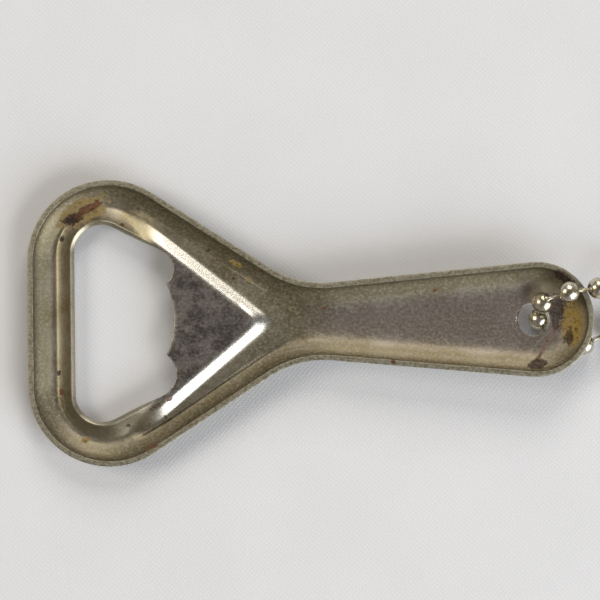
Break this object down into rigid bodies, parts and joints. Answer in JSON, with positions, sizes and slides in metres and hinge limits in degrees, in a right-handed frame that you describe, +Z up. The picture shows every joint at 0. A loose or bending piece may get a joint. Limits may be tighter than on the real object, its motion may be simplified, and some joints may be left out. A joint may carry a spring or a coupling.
{
  "type": "keychain bottle opener",
  "caption": "Pressed sheet-steel bottle opener with a waisted handle, a cap mouth with two teeth and a key hole, on a steel ball chain with a snap connector.",
  "frame": {"origin": "on the surface that the set lies on, under the middle of its box", "axes": "+X along the opener from its mouth towards its key hole, +Y across it, +Z up out of its hollow back"},
  "size_m": [0.1128, 0.0622, 0.009],
  "materials": {
    "worn_nickel_steel": "worn nickel plate, stained",
    "bead_nickel": "bright nickel plate",
    "link_steel": "drawn wire, satin",
    "connector_nickel": "bright nickel plate"
  },
  "bodies": {
    "opener_body": {"opener_body": "worn_nickel_steel"},
    "hole_bead": {"hole_bead": "bead_nickel"},
    "upper_link_01": {"upper_link_01": "link_steel"},
    "upper_bead_01": {"upper_bead_01": "bead_nickel"},
    "upper_link_02": {"upper_link_02": "link_steel"},
    "upper_bead_02": {"upper_bead_02": "bead_nickel"},
    "upper_link_03": {"upper_link_03": "link_steel"},
    "upper_bead_03": {"upper_bead_03": "bead_nickel"},
    "upper_link_04": {"upper_link_04": "link_steel"},
    "upper_bead_04": {"upper_bead_04": "bead_nickel"},
    "upper_link_05": {"upper_link_05": "link_steel"},
    "upper_bead_05": {"upper_bead_05": "bead_nickel"},
    "upper_link_06": {"upper_link_06": "link_steel"},
    "upper_bead_06": {"upper_bead_06": "bead_nickel"},
    "upper_link_07": {"upper_link_07": "link_steel"},
    "upper_bead_07": {"upper_bead_07": "bead_nickel"},
    "upper_link_08": {"upper_link_08": "link_steel"},
    "upper_bead_08": {"upper_bead_08": "bead_nickel"},
    "upper_link_09": {"upper_link_09": "link_steel"},
    "upper_bead_09": {"upper_bead_09": "bead_nickel"},
    "upper_link_10": {"upper_link_10": "link_steel"},
    "upper_bead_10": {"upper_bead_10": "bead_nickel"},
    "upper_link_11": {"upper_link_11": "link_steel"},
    "upper_bead_11": {"upper_bead_11": "bead_nickel"},
    "upper_link_12": {"upper_link_12": "link_steel"},
    "upper_bead_12": {"upper_bead_12": "bead_nickel"},
    "lower_link_01": {"lower_link_01": "link_steel"},
    "lower_bead_01": {"lower_bead_01": "bead_nickel"},
    "lower_link_02": {"lower_link_02": "link_steel"},
    "lower_bead_02": {"lower_bead_02": "bead_nickel"},
    "lower_link_03": {"lower_link_03": "link_steel"},
    "lower_bead_03": {"lower_bead_03": "bead_nickel"},
    "lower_link_04": {"lower_link_04": "link_steel"},
    "lower_bead_04": {"lower_bead_04": "bead_nickel"},
    "lower_link_05": {"lower_link_05": "link_steel"},
    "lower_bead_05": {"lower_bead_05": "bead_nickel"},
    "lower_link_06": {"lower_link_06": "link_steel"},
    "lower_bead_06": {"lower_bead_06": "bead_nickel"},
    "lower_link_07": {"lower_link_07": "link_steel"},
    "lower_bead_07": {"lower_bead_07": "bead_nickel"},
    "lower_link_08": {"lower_link_08": "link_steel"},
    "lower_bead_08": {"lower_bead_08": "bead_nickel"},
    "lower_link_09": {"lower_link_09": "link_steel"},
    "lower_bead_09": {"lower_bead_09": "bead_nickel"},
    "lower_link_10": {"lower_link_10": "link_steel"},
    "lower_bead_10": {"lower_bead_10": "bead_nickel"},
    "lower_link_11": {"lower_link_11": "link_steel"},
    "lower_bead_11": {"lower_bead_11": "bead_nickel"},
    "snap_connector": {"snap_connector": "connector_nickel"}
  },
  "joints": [
    {"name": "chain_turn", "type": "hinge", "parent": "opener_body", "child": "hole_bead", "pos_m": [0.01886, -0.00557, 0.00349], "axis": [-0.0401, 0, 0.9992], "range_deg": [-30, 30]},
    {"name": "upper_link_01_swing", "type": "hinge", "parent": "hole_bead", "child": "upper_link_01", "pos_m": [0.0195, -0.00487, 0.00267], "axis": [0.8248, 0.4869, -0.2874], "range_deg": [-6, 0]},
    {"name": "upper_bead_01_swing", "type": "hinge", "parent": "upper_link_01", "child": "upper_bead_01", "pos_m": [0.01955, -0.00353, 0.00506], "axis": [-0.1374, 0.8664, -0.4801], "range_deg": [-62, 0]},
    {"name": "upper_link_02_swing", "type": "hinge", "parent": "upper_bead_01", "child": "upper_link_02", "pos_m": [0.02046, -0.0027, 0.00631], "axis": [0.1373, -0.8664, 0.4801], "range_deg": [0, 62]},
    {"name": "upper_bead_02_swing", "type": "hinge", "parent": "upper_link_02", "child": "upper_bead_02", "pos_m": [0.02287, -0.00179, 0.00726], "axis": [0.0612, -0.7942, 0.6045], "range_deg": [-6, 42]},
    {"name": "upper_link_03_swing", "type": "hinge", "parent": "upper_bead_02", "child": "upper_link_03", "pos_m": [0.02456, -0.00141, 0.00758], "axis": [-0.0611, 0.7939, -0.605], "range_deg": [-42, 8]},
    {"name": "upper_bead_03_swing", "type": "hinge", "parent": "upper_link_03", "child": "upper_bead_03", "pos_m": [0.02729, -0.00117, 0.00763], "axis": [-0.0898, 0.984, 0.1537], "range_deg": [-54, 6]},
    {"name": "upper_link_04_swing", "type": "hinge", "parent": "upper_bead_03", "child": "upper_link_04", "pos_m": [0.02889, -0.00092, 0.00694], "axis": [0.0895, -0.9839, -0.1544], "range_deg": [-6, 54]},
    {"name": "upper_bead_04_swing", "type": "hinge", "parent": "upper_link_04", "child": "upper_bead_04", "pos_m": [0.03072, -0.00044, 0.00496], "axis": [-0.2581, 0.9661, 0], "range_deg": [-24, 36]},
    {"name": "upper_link_05_swing", "type": "hinge", "parent": "upper_bead_04", "child": "upper_link_05", "pos_m": [0.03201, -0.00009, 0.00382], "axis": [0.5899, 0.1643, 0.7906], "range_deg": [-30, 28]},
    {"name": "upper_bead_05_swing", "type": "hinge", "parent": "upper_link_05", "child": "upper_bead_05", "pos_m": [0.03417, 0.00052, 0.00225], "axis": [0.2936, -0.9554, 0.0312], "range_deg": [-46, 12]},
    {"name": "upper_link_06_swing", "type": "hinge", "parent": "upper_bead_05", "child": "upper_link_06", "pos_m": [0.03577, 0.001, 0.0017], "axis": [-0.2937, 0.9554, -0.0315], "range_deg": [-12, 46]},
    {"name": "upper_bead_06_swing", "type": "hinge", "parent": "upper_link_06", "child": "upper_bead_06", "pos_m": [0.03839, 0.0018, 0.00162], "axis": [-0.3281, 0.9447, 0], "range_deg": [-28, 30]},
    {"name": "upper_link_07_swing", "type": "hinge", "parent": "upper_bead_06", "child": "upper_link_07", "pos_m": [0.04003, 0.00244, 0.00159], "axis": [0.0056, 0.0024, 1], "range_deg": [-34, 26]},
    {"name": "upper_bead_07_swing", "type": "hinge", "parent": "upper_link_07", "child": "upper_bead_07", "pos_m": [0.04251, 0.00362, 0.0016], "axis": [0.4692, -0.8831, 0], "range_deg": [-30, 30]},
    {"name": "upper_link_08_swing", "type": "hinge", "parent": "upper_bead_07", "child": "upper_link_08", "pos_m": [0.04402, 0.00451, 0.0016], "axis": [0.0008, 0.0005, -1], "range_deg": [-24, 34]},
    {"name": "upper_bead_08_swing", "type": "hinge", "parent": "upper_link_08", "child": "upper_bead_08", "pos_m": [0.04625, 0.0061, 0.0016], "axis": [-0.6259, 0.7799, 0], "range_deg": [-28, 28]},
    {"name": "upper_link_09_swing", "type": "hinge", "parent": "upper_bead_08", "child": "upper_link_09", "pos_m": [0.04756, 0.00728, 0.0016], "axis": [0.0016, 0.0016, 1], "range_deg": [-36, 22]},
    {"name": "upper_bead_09_swing", "type": "hinge", "parent": "upper_link_09", "child": "upper_bead_09", "pos_m": [0.04937, 0.00933, 0.00159], "axis": [0.7848, -0.6197, 0], "range_deg": [-30, 28]},
    {"name": "upper_link_10_swing", "type": "hinge", "parent": "upper_bead_09", "child": "upper_link_10", "pos_m": [0.05039, 0.01077, 0.0016], "axis": [0.0047, 0.0075, -1], "range_deg": [-24, 36]},
    {"name": "upper_bead_10_swing", "type": "hinge", "parent": "upper_link_10", "child": "upper_bead_10", "pos_m": [0.05172, 0.01317, 0.00163], "axis": [-0.8974, 0.4413, 0], "range_deg": [-28, 30]},
    {"name": "upper_link_11_swing", "type": "hinge", "parent": "upper_bead_10", "child": "upper_link_11", "pos_m": [0.05241, 0.01478, 0.00171], "axis": [-0.0195, -0.0525, 0.9984], "range_deg": [-36, 24]},
    {"name": "upper_bead_11_swing", "type": "hinge", "parent": "upper_link_11", "child": "upper_bead_11", "pos_m": [0.05324, 0.01739, 0.0019], "axis": [0.9699, -0.2434, 0], "range_deg": [-28, 30]},
    {"name": "upper_link_12_swing", "type": "hinge", "parent": "upper_bead_11", "child": "upper_link_12", "pos_m": [0.05356, 0.01912, 0.002], "axis": [0.0068, 0.0532, -0.9986], "range_deg": [-22, 36]},
    {"name": "upper_bead_12_swing", "type": "hinge", "parent": "upper_link_12", "child": "upper_bead_12", "pos_m": [0.05375, 0.02185, 0.00213], "axis": [-0.9977, 0.0681, 0], "range_deg": [-18, 18]},
    {"name": "lower_link_01_swing", "type": "hinge", "parent": "hole_bead", "child": "lower_link_01", "pos_m": [0.02, -0.00627, 0.00173], "axis": [-0.8247, -0.487, 0.2877], "range_deg": [-62, 0]},
    {"name": "lower_bead_01_swing", "type": "hinge", "parent": "lower_link_01", "child": "lower_bead_01", "pos_m": [0.02136, -0.00864, 0.00163], "axis": [-0.0023, -0.0436, 0.999], "range_deg": [-60, 0]},
    {"name": "lower_link_02_swing", "type": "hinge", "parent": "lower_bead_01", "child": "lower_link_02", "pos_m": [0.02288, -0.00953, 0.00159], "axis": [0.0022, 0.0434, -0.9991], "range_deg": [0, 60]},
    {"name": "lower_bead_02_swing", "type": "hinge", "parent": "lower_link_02", "child": "lower_bead_02", "pos_m": [0.02562, -0.00954, 0.0016], "axis": [0.0019, -0.0037, -1], "range_deg": [-16, 44]},
    {"name": "lower_link_03_swing", "type": "hinge", "parent": "lower_bead_02", "child": "lower_link_03", "pos_m": [0.02733, -0.00912, 0.0016], "axis": [-0.0021, 0.0043, 1], "range_deg": [-44, 16]},
    {"name": "lower_bead_03_swing", "type": "hinge", "parent": "lower_link_03", "child": "lower_bead_03", "pos_m": [0.02976, -0.00785, 0.0016], "axis": [0.3894, -0.9211, 0], "range_deg": [-28, 28]},
    {"name": "lower_link_04_swing", "type": "hinge", "parent": "lower_bead_03", "child": "lower_link_04", "pos_m": [0.03143, -0.0073, 0.0016], "axis": [0, 0, -1], "range_deg": [-40, 20]},
    {"name": "lower_bead_04_swing", "type": "hinge", "parent": "lower_link_04", "child": "lower_bead_04", "pos_m": [0.03414, -0.0069, 0.0016], "axis": [-0.0634, 0.998, 0], "range_deg": [-28, 28]},
    {"name": "lower_link_05_swing", "type": "hinge", "parent": "lower_bead_04", "child": "lower_link_05", "pos_m": [0.0359, -0.00694, 0.0016], "axis": [0, 0, 1], "range_deg": [-20, 40]},
    {"name": "lower_bead_05_swing", "type": "hinge", "parent": "lower_link_05", "child": "lower_bead_05", "pos_m": [0.0386, -0.00744, 0.0016], "axis": [-0.251, -0.968, 0], "range_deg": [-28, 28]},
    {"name": "lower_link_06_swing", "type": "hinge", "parent": "lower_bead_05", "child": "lower_link_06", "pos_m": [0.04027, -0.008, 0.0016], "axis": [0, 0, -1], "range_deg": [-38, 22]},
    {"name": "lower_bead_06_swing", "type": "hinge", "parent": "lower_link_06", "child": "lower_bead_06", "pos_m": [0.04272, -0.00921, 0.0016], "axis": [0.5003, 0.8658, 0], "range_deg": [-28, 28]},
    {"name": "lower_link_07_swing", "type": "hinge", "parent": "lower_bead_06", "child": "lower_link_07", "pos_m": [0.04419, -0.01019, 0.0016], "axis": [0, 0, 1], "range_deg": [-22, 36]},
    {"name": "lower_bead_07_swing", "type": "hinge", "parent": "lower_link_07", "child": "lower_bead_07", "pos_m": [0.04625, -0.01199, 0.0016], "axis": [-0.7121, -0.7021, 0], "range_deg": [-28, 28]},
    {"name": "lower_link_08_swing", "type": "hinge", "parent": "lower_bead_07", "child": "lower_link_08", "pos_m": [0.04739, -0.01333, 0.0016], "axis": [0, 0, -1], "range_deg": [-38, 22]},
    {"name": "lower_bead_08_swing", "type": "hinge", "parent": "lower_link_08", "child": "lower_bead_08", "pos_m": [0.04884, -0.01566, 0.0016], "axis": [0.8776, 0.4793, 0], "range_deg": [-28, 28]},
    {"name": "lower_link_09_swing", "type": "hinge", "parent": "lower_bead_08", "child": "lower_link_09", "pos_m": [0.04959, -0.01725, 0.0016], "axis": [0, 0, 1], "range_deg": [-22, 36]},
    {"name": "lower_bead_09_swing", "type": "hinge", "parent": "lower_link_09", "child": "lower_bead_09", "pos_m": [0.05047, -0.01985, 0.0016], "axis": [-0.9639, -0.2663, 0], "range_deg": [-28, 28]},
    {"name": "lower_link_10_swing", "type": "hinge", "parent": "lower_bead_09", "child": "lower_link_10", "pos_m": [0.05084, -0.02157, 0.0016], "axis": [0, 0, -1], "range_deg": [-36, 24]},
    {"name": "lower_bead_10_swing", "type": "hinge", "parent": "lower_link_10", "child": "lower_bead_10", "pos_m": [0.05112, -0.02429, 0.0016], "axis": [0.9979, 0.0641, 0], "range_deg": [-30, 30]},
    {"name": "lower_link_11_swing", "type": "hinge", "parent": "lower_bead_10", "child": "lower_link_11", "pos_m": [0.05116, -0.02605, 0.0016], "axis": [0, 0, 1], "range_deg": [-26, 34]},
    {"name": "lower_bead_11_swing", "type": "hinge", "parent": "lower_link_11", "child": "lower_bead_11", "pos_m": [0.05103, -0.02879, 0.0016], "axis": [-0.9989, 0.0476, 0], "range_deg": [-30, 30]},
    {"name": "snap_connector_swing", "type": "hinge", "parent": "upper_bead_12", "child": "snap_connector", "pos_m": [0.05381, 0.02272, 0.00218], "axis": [0, 0, 1], "range_deg": [-8, 8]}
  ]
}
